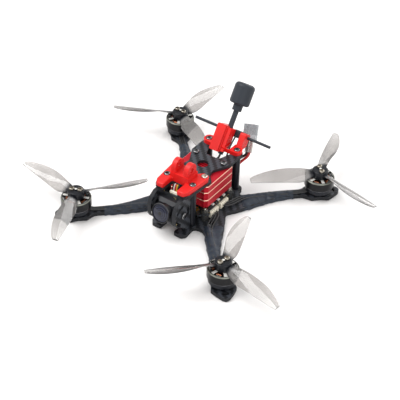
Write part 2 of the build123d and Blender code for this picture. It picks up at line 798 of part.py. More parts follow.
def camera_bracket(side):
    """Upright side plate between the carbon plates, with tabs in both and slots round the pivot."""
    low, high = base_top + seat_gap, top_bottom - seat_gap
    back = front_standoff[1] - standoff_radius - 0.6
    ring = [(tab_back, 0.3, 0.0), (tab_back, low, 0.0), (back, low, 0.0), (back, high, 0.0)]
    ring += [(tab_back, high, 0.0), (tab_back, top_top - 0.1, 0.0), (tab_front, top_top - 0.1, 0.0)]
    ring += [(tab_front, high, 0.0), (-33.6, high, 1.5), (-37.6, 25.0, 4.0), (-39.5, 21.0, 4.0)]
    ring += [(-39.2, 13.4, 2.0), (-37.4, 10.6, 2.0), (tab_front, 4.6, 1.0), (tab_front, 0.3, 0.0)]
    face = outline(ring)
    hole = Pos(camera_pivot_y, camera_pivot_z) * Circle(metric_two + running_gap)
    face -= hole
    for radius, start, sweep_angle in ((6.6, 96, 46), (6.2, 190, 52), (5.4, -20, 44)):
        arc = CenterArc((camera_pivot_y, camera_pivot_z), radius, start, sweep_angle)
        face -= SlotArc(arc, 2.1)
    upright = Plane(origin=(0, 0, 0), x_dir=(0, 1, 0), z_dir=(1, 0, 0))
    body = upright * extrude(face, bracket_thickness)
    near = bracket_inner if side > 0 else -bracket_outer
    return Pos(near, 0, 0) * body


camera_cable_points = [
    (0, -25.8, 26.1),
    (0, -25.2, 29.8),
    (0, -24.0, 29.8),
    (0, -23.8, 25.4),
    (0, -19.2, 22.0),
    (0, -16.8, 21.6),
    (0, -14.45, 21.6),
]


# ------------------------------------------------------------------ printed mounts
def front_mount():
    """Printed mount: winged plate with a raised block and two round fingers."""
    low, high = top_top, top_top + mount_plate
    half = [(4.8, -22.4, 1.0), (4.8, -31.6, 1.0), (9.6, -31.6, 1.6), (11.6, -28.2, 1.6)]
    half += [(13.1, -11.4, 1.2), (11.8, -8.2, 1.0), (8.0, -7.8, 1.0), (4.6, -11.0, 1.5)]
    body = plate(outline(both_sides(half)), low, high)
    body = fillet(body.edges().group_by(Axis.Z)[-1], 0.9)
    body += slab((-6.4, -22.4, low + 0.5), (6.4, -12.4, high + finger_block))
    for side in (-1, 1):
        middle = side * finger_spacing / 2
        profile = Pos(finger_axis_y, finger_axis_z) * Circle(finger_radius)
        profile += Pos(finger_axis_y, (finger_axis_z + high) / 2) * Rectangle(
            2 * finger_radius, finger_axis_z - high
        )
        profile -= Pos(finger_axis_y, finger_axis_z) * Circle(finger_hole)
        upright = Plane(origin=(middle - finger_thickness / 2, 0, 0), x_dir=(0, 1, 0), z_dir=(1, 0, 0))
        body += upright * extrude(profile, finger_thickness)
    places = [p for p in standoff_places() + transmitter_screw_places() if p[1] < -5]
    for x, y in places:
        body -= rod(x, y, low, high + 3, screw_hole)
        body -= rod(x, y, high - screw_sink, high + 3, 2.2)
    return body


lean_place = Plane(
    origin=(0, 22.0, top_top),
    x_dir=(1, 0, 0),
    z_dir=(0, sin(radians(antenna_lean)), cos(radians(antenna_lean))),
)
stem_set = 1.3  # the antenna's axis lies this far behind the leaning frame's origin
rod_set = 6.6  # the receiver rod lies this far behind it
rod_rise = 11.2  # and this far up the lean
slot_half = 0.6  # half width of the ridge that ends the block


def rear_mount():
    """Printed mount: two screw lobes, a leaning split block for the antenna and an ear for the rod."""
    low, high = top_top, top_top + rear_plate
    half = [(9.2, 20.2, 1.2), (13.3, 20.6, 2.8), (13.3, 26.8, 2.9), (7.4, 27.6, 1.5)]
    body = plate(outline(both_sides(half)), low, high)
    leaning = slab((-6.6, -3.2, -2.6), (slot_half, 4.6, 14.4))
    leaning = fillet(leaning.edges().filter_by(Axis.Y), 0.9)
    leaning += slab((-6.6, 2.0, 3.4), (-2.6, rod_set + 2.2, 14.4))
    wall = slab((slot_half - 0.4, -2.5, -1.6), (3.0, 4.0, 13.6))
    ear = slab((7.3, 2.6, 0.4), (11.2, rod_set + 2.3, 13.4))
    ear = fillet(ear.edges().filter_by(Axis.X), 1.2)
    arms = leaning + wall + ear
    arms -= slab((slot_half - 1.0, -4.0, -5.0), (slot_half - 0.4, -2.5, 16.0))
    arms -= Pos(0, rod_set, rod_rise) * Rot(0, 90, 0) * Cylinder(receiver_rod_radius + seat_gap, 60)
    # the leaning parts may hang in the top plate's notch, but nothing else of them reaches below
    keep = slab((-30, -30, low), (30, 80, 90)) + slab((-6.7, 14.0, low - 6), (3.5, 21.0, low))
    body += (lean_place * arms) & keep
    bore = antenna_stem_radius + seat_gap
    body -= lean_place * Pos(0, stem_set, -6) * Cylinder(bore, 30, align=UPWARD)
    body -= slab((3.6, 20.8, low - 1), (6.4, 29.0, high + 1))
    for x, y in standoff_places():
        if y > 0:
            body -= rod(x, y, low, high + 12, screw_hole)
            body -= rod(x, y, high - screw_sink, high + 12, 2.2)
    return body


def antenna_stem():
    """Stiff stem of the video antenna."""
    stem = Pos(0, stem_set, -3.6) * Cylinder(antenna_stem_radius, 30.0, align=UPWARD)
    return lean_place * stem


cap_bottom = 28.6  # along the lean


def antenna_cap():
    """Antenna cap with its collar, hollow over the stem's end."""
    collar = Pos(0, stem_set, cap_bottom - 4.0) * Cylinder(3.0, 4.2, align=UPWARD)
    cap = Pos(0, stem_set, cap_bottom) * Cylinder(antenna_cap_radius, antenna_cap_height, align=UPWARD)
    cap = fillet(cap.edges().group_by(Axis.Z)[-1], 2.4)
    cap = fillet(cap.edges().group_by(Axis.Z)[0], 1.6)
    bore = antenna_stem_radius + seat_gap
    hollow = Pos(0, stem_set, cap_bottom - 4.5) * Cylinder(bore, 6.6, align=UPWARD)
    return lean_place * (collar + cap - hollow)


def receiver_rod():
    """Receiver antenna: a thin cross rod in its joint block."""
    body = Pos(0, rod_set, rod_rise) * Rot(0, 90, 0) * Cylinder(receiver_rod_radius, receiver_rod_length)
    joint = slab((1.8, rod_set - 2.2, rod_rise - 2.2), (6.3, rod_set + 2.2, rod_rise + 2.4))
    joint = fillet(joint.edges().filter_by(Axis.X), 0.7)
    return lean_place * (body + joint)


video_coax_points = [(0, 14.45, 24.6), (0, 17.2, 24.3), (0, 19.7, 23.9), (0, 21.0, 25.71)]
receiver_coax_points = [
    (4.6, 16.05, 21.6),
    (4.6, 18.4, 21.8),
    (5.0, 20.4, 26.4),
    (5.0, 22.6, 30.2),
    (4.8, 26.0, 33.4),
    (4.4, 30.7, 35.6),
]


# ------------------------------------------------------------------ battery lead
lead_gauge = 0.85  # radius of a battery wire
wire_offset = 1.0  # half the distance between the two wires in their sleeve
sleeve_start = Vector(10.9, 35.8, 23.2)
sleeve_axis = Vector(-0.26, 0.56, 0.79).normalized()
sleeve_length = 7.5
plug_length = 10.0
red_points = [(6.4, 17.2, 8.9), (6.2, 21.6, 10.4), (6.6, 28.0, 14.0), (9.0, 31.8, 18.2)]
red_points += [(11.7, 34.0, 21.2)]
black_points = [(3.4, 17.2, 8.9), (3.4, 22.0, 10.4), (4.0, 28.8, 14.4), (6.4, 33.3, 18.4)]
black_points += [(9.9, 35.4, 21.2)]


def sleeve_plane(distance):
    """Plane across the sleeve's axis."""
    return Plane(origin=sleeve_start + sleeve_axis * distance, x_dir=(1, 0.3, -0.03), z_dir=sleeve_axis)


def battery_wire(points, side, name):
    """One battery wire, from its pad on the board through the sleeve to the plug."""
    offset = Vector(side * wire_offset, 0, 0)
    inside = [sleeve_plane(d).from_local_coords(offset) for d in (0.6, sleeve_length - 0.2)]
    route = points + [(p.X, p.Y, p.Z) for p in inside]
    return cord(route, lead_gauge, name)


def battery_sleeve():
    """Clear sleeve round both battery wires."""
    tube = Cylinder(2.5, sleeve_length, align=UPWARD) - Cylinder(2.15, sleeve_length, align=UPWARD)
    return sleeve_plane(0) * tube


def battery_plug():
    """Two-pole battery plug with a hollow mouth and two pins."""
    ring = [(-4.4, -2.6, 0.8), (4.4, -2.6, 0.8), (4.4, 1.4, 0.3), (3.2, 2.6, 0.3), (-4.4, 2.6, 0.8)]
    body = extrude(outline(ring), plug_length)
    body -= Pos(0, 0, 3.5) * Box(7.4, 3.8, plug_length, align=UPWARD)
    for x in (-2.1, 2.1):
        body += Pos(x, 0, 3.0) * Cylinder(0.9, plug_length - 4.0, align=UPWARD)
    return sleeve_plane(sleeve_length) * body


# ------------------------------------------------------------------ all nodes
def nodes():
    """Every node's name with its solid or list of solids."""
    built = {
        "base_plate": base_plate(),
        "top_plate": top_plate(),
        "standoffs": standoffs(),
        "base_screws": base_screws(),
        "top_screws": top_screws(),
        "wing_screws": wing_screws(),
        "arm_tapes": arm_tapes(),
        "motor_leads": motor_leads(),
        "motor_bases": motor_bases(),
        "motor_bearings": motor_bearings(),
        "motor_screws": motor_screws(),
        "motor_stators": motor_stators(),
        "motor_windings": motor_windings(),
        "flight_board": flight_board(),
        "board_parts": board_parts(),
        "lead_plugs": lead_plugs(),
        "stack_grommets": stack_grommets(),
        "stack_screws": stack_screws(),
        "transmitter_lower": transmitter_lower(),
        "transmitter_board": transmitter_board(),
        "transmitter_middle": transmitter_middle(),
        "transmitter_upper": transmitter_upper(),
        "transmitter_screws": transmitter_screws(),
        "receiver_board": receiver_board(),
        "camera_case": camera_case(),
        "camera_barrel": camera_barrel(),
        "camera_glass": camera_glass(),
        "camera_board": camera_board(),
        "camera_plug": camera_plug(),
        "camera_screws": camera_screws(),
        "camera_bracket_left": camera_bracket(1),
        "camera_bracket_right": camera_bracket(-1),
        "camera_cable": cord(camera_cable_points, 0.6, "camera_cable"),
        "front_mount": front_mount(),
        "rear_mount": rear_mount(),
        "antenna_stem": antenna_stem(),
        "antenna_cap": antenna_cap(),
        "video_coax": cord(video_coax_points, 0.65, "video_coax"),
        "receiver_rod": receiver_rod(),
        "receiver_coax": cord(receiver_coax_points, 0.5, "receiver_coax"),
        "battery_wire_red": battery_wire(red_points, 1, "battery_wire_red"),
        "battery_wire_black": battery_wire(black_points, -1, "battery_wire_black"),
        "battery_sleeve": battery_sleeve(),
        "battery_plug": battery_plug(),
    }
    for name, side_x, side_y, turn, first_blade in MOTORS:
        place = Pos(side_x * motor_offset, side_y * motor_offset, 0) * Rot(0, 0, first_blade)
        built[f"bell_{name}"] = place * bell()
        built[f"magnets_{name}"] = [place * piece for piece in magnets()]
        built[f"propeller_{name}"] = place * propeller(turn)
        built[f"propeller_screws_{name}"] = [place * screw for screw in propeller_screws()]
    return built


def solids_of(body):
    """Flat list of the solids in a body or a list of bodies."""
    bodies = body if isinstance(body, list) else [body]
    return [solid for item in bodies for solid in item.solids()]


os.makedirs("parts", exist_ok=True)
for node_name, node_body in nodes().items():
    export_step(Compound(children=solids_of(node_body)), f"parts/{node_name}.step")
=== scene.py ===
"""Looks of a small carbon-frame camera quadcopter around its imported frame. Lengths are metres."""
import json
from math import cos, pi, radians, sin, sqrt

import bpy
import numpy as np
from mathutils import Matrix, Vector


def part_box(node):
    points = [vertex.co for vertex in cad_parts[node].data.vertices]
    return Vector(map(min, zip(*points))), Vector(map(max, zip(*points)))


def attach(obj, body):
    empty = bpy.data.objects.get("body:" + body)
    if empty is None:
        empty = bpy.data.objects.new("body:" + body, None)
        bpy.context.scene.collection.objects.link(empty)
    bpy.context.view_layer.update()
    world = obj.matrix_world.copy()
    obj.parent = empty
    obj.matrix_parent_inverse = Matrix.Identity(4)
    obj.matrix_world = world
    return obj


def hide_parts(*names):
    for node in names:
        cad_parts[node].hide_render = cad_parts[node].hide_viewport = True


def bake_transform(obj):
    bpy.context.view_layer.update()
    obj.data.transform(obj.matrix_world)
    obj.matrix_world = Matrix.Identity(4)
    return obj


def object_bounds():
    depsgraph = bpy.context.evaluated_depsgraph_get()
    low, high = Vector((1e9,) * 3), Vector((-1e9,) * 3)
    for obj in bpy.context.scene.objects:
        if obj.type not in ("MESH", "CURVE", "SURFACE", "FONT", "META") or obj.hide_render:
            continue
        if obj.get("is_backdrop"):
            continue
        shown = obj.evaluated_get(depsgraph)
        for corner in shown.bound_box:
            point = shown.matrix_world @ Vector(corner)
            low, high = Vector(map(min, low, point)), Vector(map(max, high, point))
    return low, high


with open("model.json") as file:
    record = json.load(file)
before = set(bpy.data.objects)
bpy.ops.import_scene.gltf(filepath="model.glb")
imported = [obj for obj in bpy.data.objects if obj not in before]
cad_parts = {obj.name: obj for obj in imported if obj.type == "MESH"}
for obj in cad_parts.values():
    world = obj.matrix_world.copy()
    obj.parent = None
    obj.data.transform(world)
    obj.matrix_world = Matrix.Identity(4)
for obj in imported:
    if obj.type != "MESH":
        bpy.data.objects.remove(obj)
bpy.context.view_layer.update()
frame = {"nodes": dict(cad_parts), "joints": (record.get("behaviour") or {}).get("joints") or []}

MM = 0.001
UNSCALED = (1.0, 1.0, 1.0)
# each motor with the sides of X and Y that it lies on
MOTORS = (
    ("front_right", -1, -1),
    ("rear_right", -1, 1),
    ("rear_left", 1, 1),
    ("front_left", 1, -1),
)
motor_places = {
    joint["child"]: joint["pos_m"] for joint in frame["joints"] if joint.get("continuous")
}
base_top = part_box("base_plate")[1].z / MM  # the base plate's upper face, in millimetres
arm_end = 75.0  # motor axis, along an arm from the middle of the frame, in millimetres


# ------------------------------------------------------------------ node trees
def feed(tree, socket, value):
    """Puts a constant on a socket, or links another socket to it."""
    if isinstance(value, bpy.types.NodeSocket):
        tree.links.new(value, socket)
    else:
        socket.default_value = value


def maths(tree, operation, *values):
    """Math node; returns its value."""
    node = tree.nodes.new("ShaderNodeMath")
    node.operation = operation
    for socket, value in zip(node.inputs, values):
        feed(tree, socket, value)
    return node.outputs[0]


def smooth_step(tree, value, low, high):
    """Value taken smoothly from 0 at low to 1 at high."""
    node = tree.nodes.new("ShaderNodeMapRange")
    node.interpolation_type = "SMOOTHSTEP"
    feed(tree, node.inputs["Value"], value)
    feed(tree, node.inputs["From Min"], low)
    feed(tree, node.inputs["From Max"], high)
    return node.outputs["Result"]


def noise(tree, vector, scale, detail=3.0, roughness=0.55):
    """Noise texture's value."""
    node = tree.nodes.new("ShaderNodeTexNoise")
    feed(tree, node.inputs["Vector"], vector)
    feed(tree, node.inputs["Scale"], scale)
    node.inputs["Detail"].default_value = detail
    node.inputs["Roughness"].default_value = roughness
    return node.outputs["Fac"]


def blend_colours(tree, factor, first, second):
    """Colour between two, by a factor."""
    node = tree.nodes.new("ShaderNodeMix")
    node.data_type = "RGBA"
    feed(tree, node.inputs[0], factor)
    for socket, colour in ((node.inputs[6], first), (node.inputs[7], second)):
        feed(tree, socket, colour if isinstance(colour, bpy.types.NodeSocket) else (*colour, 1.0))
    return node.outputs[2]


def blend_values(tree, factor, first, second):
    """Number between two, by a factor."""
    node = tree.nodes.new("ShaderNodeMix")
    feed(tree, node.inputs[0], factor)
    feed(tree, node.inputs[2], first)
    feed(tree, node.inputs[3], second)
    return node.outputs[0]


def split(tree, vector):
    """The three numbers of a vector."""
    node = tree.nodes.new("ShaderNodeSeparateXYZ")
    feed(tree, node.inputs[0], vector)
    return node.outputs


def join(tree, x, y, z):
    """Vector of three numbers."""
    node = tree.nodes.new("ShaderNodeCombineXYZ")
    for socket, value in zip(node.inputs, (x, y, z)):
        feed(tree, socket, value)
    return node.outputs[0]


def stretched(tree, vector, scale, move=(0.0, 0.0, 0.0), turn=(0.0, 0.0, 0.0)):
    """Vector moved so that a place becomes its zero, turned, then scaled."""
    node = tree.nodes.new("ShaderNodeMapping")
    node.vector_type = "POINT"
    feed(tree, node.inputs["Vector"], vector)
    node.inputs["Location"].default_value = [-m * s for m, s in zip(move, scale)]
    node.inputs["Rotation"].default_value = turn
    node.inputs["Scale"].default_value = scale
    return node.outputs[0]


def shared_effect(name, inputs, outputs, build):
    """Shader node group: inputs and outputs are (label, socket type, default) and (label, type)."""
    tree = bpy.data.node_groups.new(name, "ShaderNodeTree")
    for label, kind, default in inputs:
        socket = tree.interface.new_socket(label, in_out="INPUT", socket_type=kind)
        if default is not None:
            socket.default_value = default
    for label, kind in outputs:
        tree.interface.new_socket(label, in_out="OUTPUT", socket_type=kind)
    entry = tree.nodes.new("NodeGroupInput")
    way_out = tree.nodes.new("NodeGroupOutput")
    for label, value in build(tree, entry.outputs).items():
        tree.links.new(value, way_out.inputs[label])
    return tree


def build_grain(tree, given):
    """Fine moulded grain and slow cloudy variation: two noises, one about thirty times coarser."""
    fine = noise(tree, given["Vector"], given["Scale"], 4.0)
    slow = noise(tree, given["Vector"], maths(tree, "MULTIPLY", given["Scale"], 0.03), 3.0)
    return {"Fine": fine, "Slow": slow}


def build_twill(tree, given):
    """Two-by-two twill: tows of one width cross, each passing over two and under two of the others."""
    across, along, _ = split(tree, given["Vector"])
    u = maths(tree, "DIVIDE", across, given["Tow Width"])
    v = maths(tree, "DIVIDE", along, given["Tow Width"])
    stair = maths(tree, "ADD", maths(tree, "FLOOR", u), maths(tree, "FLOOR", v))
    warp = maths(tree, "LESS_THAN", maths(tree, "FLOORED_MODULO", stair, 4.0), 1.5)
    inside = blend_values(tree, warp, maths(tree, "FRACT", v), maths(tree, "FRACT", u))
    centred = maths(tree, "MULTIPLY_ADD", inside, 2.0, -1.0)
    crown = maths(tree, "SUBTRACT", 1.0, maths(tree, "POWER", maths(tree, "ABSOLUTE", centred), 3.0))
    fibre_u = noise(tree, join(tree, maths(tree, "MULTIPLY", u, 14.0), v, 0.0), 1.0, 2.0)
    fibre_v = noise(tree, join(tree, u, maths(tree, "MULTIPLY", v, 14.0), 0.0), 1.0, 2.0)
    fibre = blend_values(tree, warp, fibre_v, fibre_u)
    return {"Warp": warp, "Crown": crown, "Fibre": fibre}


def build_ridges(tree, given):
    """Even rounded ridges along one number, wandering slightly."""
    wander = noise(tree, given["Vector"], 180.0, 2.0)
    phase = maths(tree, "DIVIDE", given["Along"], given["Pitch"])
    phase = maths(tree, "ADD", phase, maths(tree, "MULTIPLY", wander, 0.35))
    wave = maths(tree, "SINE", maths(tree, "MULTIPLY", phase, 2 * pi))
    return {"Ridge": maths(tree, "MULTIPLY_ADD", wave, 0.5, 0.5)}


VECTOR = "NodeSocketVector"
NUMBER = "NodeSocketFloat"
grain_effect = shared_effect(
    "fine_grain",
    (("Vector", VECTOR, None), ("Scale", NUMBER, 2500.0)),
    (("Fine", NUMBER), ("Slow", NUMBER)),
    build_grain,
)
twill_effect = shared_effect(
    "carbon_twill",
    (("Vector", VECTOR, None), ("Tow Width", NUMBER, 0.0016)),
    (("Warp", NUMBER), ("Crown", NUMBER), ("Fibre", NUMBER)),
    build_twill,
)
ridge_effect = shared_effect(
    "even_ridges",
    (("Vector", VECTOR, None), ("Along", NUMBER, 0.0), ("Pitch", NUMBER, 0.0002)),
    (("Ridge", NUMBER),),
    build_ridges,
)


class Finish:
    """A material under construction: one Principled shader fed from object coordinates."""

    def __init__(self, name, colour, roughness, metallic=0.0, **constants):
        self.material = bpy.data.materials.new(name)
        self.material.use_nodes = True
        self.tree = self.material.node_tree
        self.shader = self.tree.nodes["Principled BSDF"]
        self.place = self.tree.nodes.new("ShaderNodeTexCoord").outputs["Object"]
        self.set("Base Color", (*colour, 1.0))
        self.set("Roughness", roughness)
        self.set("Metallic", metallic)
        for label, value in constants.items():
            self.set(label.replace("_", " "), value)

    def set(self, label, value):
        """Feeds one of the shader's sockets."""
        feed(self.tree, self.shader.inputs[label], value)

    def effect(self, group, **values):
        """Places a shared effect and returns its outputs."""
        node = self.tree.nodes.new("ShaderNodeGroup")
        node.node_tree = group
        for label, value in values.items():
            feed(self.tree, node.inputs[label.replace("_", " ")], value)
        return node.outputs

    def bump(self, height, distance, strength=1.0):
        """Feeds a height to the shader's normal."""
        node = self.tree.nodes.new("ShaderNodeBump")
        node.inputs["Strength"].default_value = strength
        node.inputs["Distance"].default_value = distance
        feed(self.tree, node.inputs["Height"], height)
        self.set("Normal", node.outputs["Normal"])

    def facing(self):
        """The surface normal's three numbers."""
        return split(self.tree, self.tree.nodes.new("ShaderNodeNewGeometry").outputs["Normal"])

    def about_axis(self, axis_place):
        """Distance from an upright axis through a place, and height."""
        centre = (axis_place[0], axis_place[1], 0.0)
        x, y, z = split(self.tree, stretched(self.tree, self.place, UNSCALED, move=centre))
        x_squared = maths(self.tree, "MULTIPLY", x, x)
        y_squared = maths(self.tree, "MULTIPLY", y, y)
        return maths(self.tree, "SQRT", maths(self.tree, "ADD", x_squared, y_squared)), z


# ------------------------------------------------------------------ finishes
def carbon(name, upright=False):
    """Twill laminate under clear resin, its weave drawn with painted sheen on the tows of one direction;
    cut edges show its layers as fine dull lines.
    """
    made = Finish(name, (0.02, 0.02, 0.022), 0.4, Specular_IOR_Level=0.3)
    tree = made.tree
    x, y, z = split(tree, made.place)
    nx, _, nz = made.facing()
    flat, layer = (join(tree, y, z, 0.0), x) if upright else (join(tree, x, y, 0.0), z)
    normal = nx if upright else nz
    on_face = smooth_step(tree, maths(tree, "ABSOLUTE", normal), 0.5, 0.8)
    twill = made.effect(twill_effect, Vector=flat, Tow_Width=0.0016)
    # Tows that run one way are painted lighter than the crossing ones: painted sheen standing in for how
    # the two directions reflect light.
    tow_sheen_tone = blend_colours(tree, twill["Warp"], (0.005, 0.006, 0.008), (0.046, 0.051, 0.062))
    fibre_share = maths(tree, "MULTIPLY", twill["Fibre"], 0.4)
    fibre_tone = blend_colours(tree, fibre_share, tow_sheen_tone, (0.014, 0.015, 0.018))
    ridges = made.effect(ridge_effect, Vector=made.place, Along=layer, Pitch=0.00028)["Ridge"]
    edge_tone = blend_colours(tree, ridges, (0.006, 0.007, 0.009), (0.02, 0.021, 0.025))
    made.set("Base Color", blend_colours(tree, on_face, edge_tone, fibre_tone))
    grain = made.effect(grain_effect, Vector=made.place, Scale=1800.0)
    tow_roughness = blend_values(tree, twill["Warp"], 0.42, 0.28)
    smear = maths(tree, "MULTIPLY_ADD", grain["Slow"], 0.2, tow_roughness)
    made.set("Roughness", blend_values(tree, on_face, 0.62, smear))
    height = blend_values(tree, on_face, ridges, twill["Crown"])
    made.bump(height, 0.00006, 0.5)
    return made.material


def anodised(name, colour, pale, roughness=0.34):
    """Bead-blasted anodised aluminium whose broken edges, the slanted faces, are painted paler: partly
    bare metal, partly a painted highlight.
    """
    made = Finish(name, colour, roughness, 0.6)
    tree = made.tree
    _, _, nz = made.facing()
    slant = maths(tree, "ABSOLUTE", nz)
    not_upright = smooth_step(tree, slant, 0.35, 0.6)
    not_level = smooth_step(tree, slant, 0.95, 0.8)
    # Slanted faces are painted paler: bare metal at the broken edges, and a painted highlight where the
    # chamfers catch the light.
    bare_edge_and_highlight = maths(tree, "MULTIPLY", not_upright, not_level)
    grain = made.effect(grain_effect, Vector=made.place, Scale=5200.0)
    darker = tuple(0.72 * c for c in colour)
    base = blend_colours(tree, grain["Slow"], darker, colour)
    made.set("Base Color", blend_colours(tree, bare_edge_and_highlight, base, pale))
    made.set("Roughness", maths(tree, "MULTIPLY_ADD", grain["Fine"], 0.18, roughness - 0.08))
    made.bump(grain["Fine"], 0.00002, 0.35)
    return made.material


def printed(name, colour, shade):
    """Soft printed plastic: level layers on its sides, slanting lines on its tops, faint clouds."""
    made = Finish(
        name, colour, 0.42, Subsurface_Weight=0.08, Subsurface_Scale=0.0012,
        Specular_IOR_Level=0.35,
    )
    tree = made.tree
    _, _, z = split(tree, made.place)
    _, _, nz = made.facing()
    side = smooth_step(tree, maths(tree, "ABSOLUTE", nz), 0.98, 0.7)
    ridges = made.effect(ridge_effect, Vector=made.place, Along=z, Pitch=0.00024)["Ridge"]
    turned = stretched(tree, made.place, UNSCALED, turn=(0.0, 0.0, radians(45)))
    aslant = split(tree, turned)[0]
    swirl = made.effect(ridge_effect, Vector=made.place, Along=aslant, Pitch=0.00042)["Ridge"]
    lines = blend_values(tree, side, swirl, ridges)
    grain = made.effect(grain_effect, Vector=made.place, Scale=2200.0)
    made.set("Base Color", blend_colours(tree, grain["Slow"], shade, colour))
    made.set("Roughness", maths(tree, "MULTIPLY_ADD", lines, 0.14, 0.34))
    made.bump(lines, 0.00004, 0.4)
    return made.material


def plastic(name, colour, shade, roughness, scale=2600.0, **constants):
    """Moulded plastic or rubber with a fine grain and uneven gloss."""
    made = Finish(name, colour, roughness, **constants)
    grain = made.effect(grain_effect, Vector=made.place, Scale=scale)
    made.set("Base Color", blend_colours(made.tree, grain["Slow"], shade, colour))
    made.set("Roughness", maths(made.tree, "MULTIPLY_ADD", grain["Slow"], 0.2, roughness - 0.1))
    made.bump(grain["Fine"], 0.00003, 0.3)
    return made.material


def silicone(name, colour, shade):
    """Soft insulation of a wire."""
    return plastic(name, colour, shade, 0.42, 1200.0)


def metal(name, colour, shade, roughness, scale=900.0):
    """Bare or blackened metal with cloudy handling marks and fine tool lines."""
    made = Finish(name, colour, roughness, 1.0)
    tree = made.tree
    lines = noise(tree, stretched(tree, made.place, (scale, scale, 14 * scale)), 1.0, 2.0)
    grain = made.effect(grain_effect, Vector=made.place, Scale=4000.0)
    made.set("Base Color", blend_colours(tree, grain["Slow"], shade, colour))
    made.set("Roughness", maths(tree, "MULTIPLY_ADD", lines, 0.2, roughness - 0.08))
    made.bump(lines, 0.00001, 0.3)
    return made.material


def turned_bell(name, place, bell_top):
    """Black anodised bell turned on a lathe: rings about its axis; its outer edge chamfer and spoke tops
    are painted pale, partly bare metal and partly a painted highlight.
    """
    made = Finish(name, (0.02, 0.02, 0.021), 0.3, 1.0)
    tree = made.tree
    radius, z = made.about_axis(place)
    _, _, nz = made.facing()
    lathe_scale = 6000.0  # noise cells per metre
    lathe_out = maths(tree, "MULTIPLY", radius, lathe_scale)
    lathe_up = maths(tree, "MULTIPLY", z, lathe_scale)
    rings = noise(tree, join(tree, lathe_out, lathe_up, 0.0), 1.0, 2.0)
    slant = maths(tree, "MULTIPLY", smooth_step(tree, nz, 0.35, 0.6), smooth_step(tree, nz, 0.93, 0.8))
    # The outer edge chamfer and the level spoke tops are painted pale: partly bare metal, partly a
    # painted highlight where they face the light.
    bare_rim_and_highlight = maths(tree, "MULTIPLY", slant, smooth_step(tree, radius, 0.0082, 0.0086))
    level = smooth_step(tree, nz, 0.9, 0.97)
    inside_rim = smooth_step(tree, radius, 0.0083, 0.0079)
    at_top = smooth_step(tree, z, bell_top - 0.0009, bell_top - 0.0005)
    bare_spokes_and_highlight = maths(tree, "MULTIPLY", maths(tree, "MULTIPLY", level, inside_rim), at_top)
    base = blend_colours(tree, rings, (0.012, 0.012, 0.013), (0.035, 0.035, 0.036))
    rimmed = blend_colours(tree, bare_rim_and_highlight, base, (0.16, 0.165, 0.14))
    made.set("Base Color", blend_colours(tree, bare_spokes_and_highlight, rimmed, (0.72, 0.71, 0.67)))
    bare_and_highlight = maths(tree, "MAXIMUM", bare_spokes_and_highlight, bare_rim_and_highlight)
    made.set("Metallic", blend_values(tree, bare_and_highlight, 1.0, 0.35))
    made.set("Roughness", maths(tree, "MULTIPLY_ADD", rings, 0.22, 0.2))
    made.bump(rings, 0.00001, 0.4)
    return made.material


def smoke_clear(name, place):
    """Smoke-tinted clear plastic: denser at hub and root, at its thin edges and where seen aslant."""
    made = Finish(
        name, (0.45, 0.42, 0.385), 0.14, Transmission_Weight=0.68, IOR=1.47,
        Coat_Weight=0.2, Coat_Roughness=0.05,
    )
    tree = made.tree
    radius, _ = made.about_axis(place)
    dense = smooth_step(tree, radius, 0.0105, 0.0058)
    slow = noise(tree, made.place, 60.0, 2.0)
    body = blend_colours(tree, slow, (0.42, 0.402, 0.39), (0.54, 0.52, 0.505))
    paler = blend_colours(tree, smooth_step(tree, radius, 0.026, 0.044), body, (0.62, 0.605, 0.59))
    aslant = tree.nodes.new("ShaderNodeLayerWeight")
    aslant.inputs["Blend"].default_value = 0.5
    grazing = smooth_step(tree, aslant.outputs["Facing"], 0.48, 0.74)
    _, _, nz = made.facing()
    thin_edge = smooth_step(tree, maths(tree, "ABSOLUTE", nz), 0.62, 0.35)
    darken = maths(tree, "MAXIMUM", maths(tree, "MULTIPLY", grazing, 0.8), thin_edge)
    tinted = blend_colours(tree, darken, paler, (0.05, 0.05, 0.056))
    made.set("Base Color", blend_colours(tree, dense, tinted, (0.008, 0.009, 0.012)))
    made.set("Coat Weight", blend_values(tree, dense, 0.2, 0.05))
    made.set("Specular IOR Level", blend_values(tree, dense, 0.5, 0.2))
    made.set("Transmission Weight", blend_values(tree, dense, 0.82, 0.05))
    flow = noise(tree, made.place, 420.0, 3.0)
    plain_roughness = blend_values(tree, dense, 0.03, 0.25)
    made.set("Roughness", maths(tree, "MULTIPLY_ADD", flow, 0.06, plain_roughness))
    made.bump(slow, 0.00012, 0.25)
    return made.material


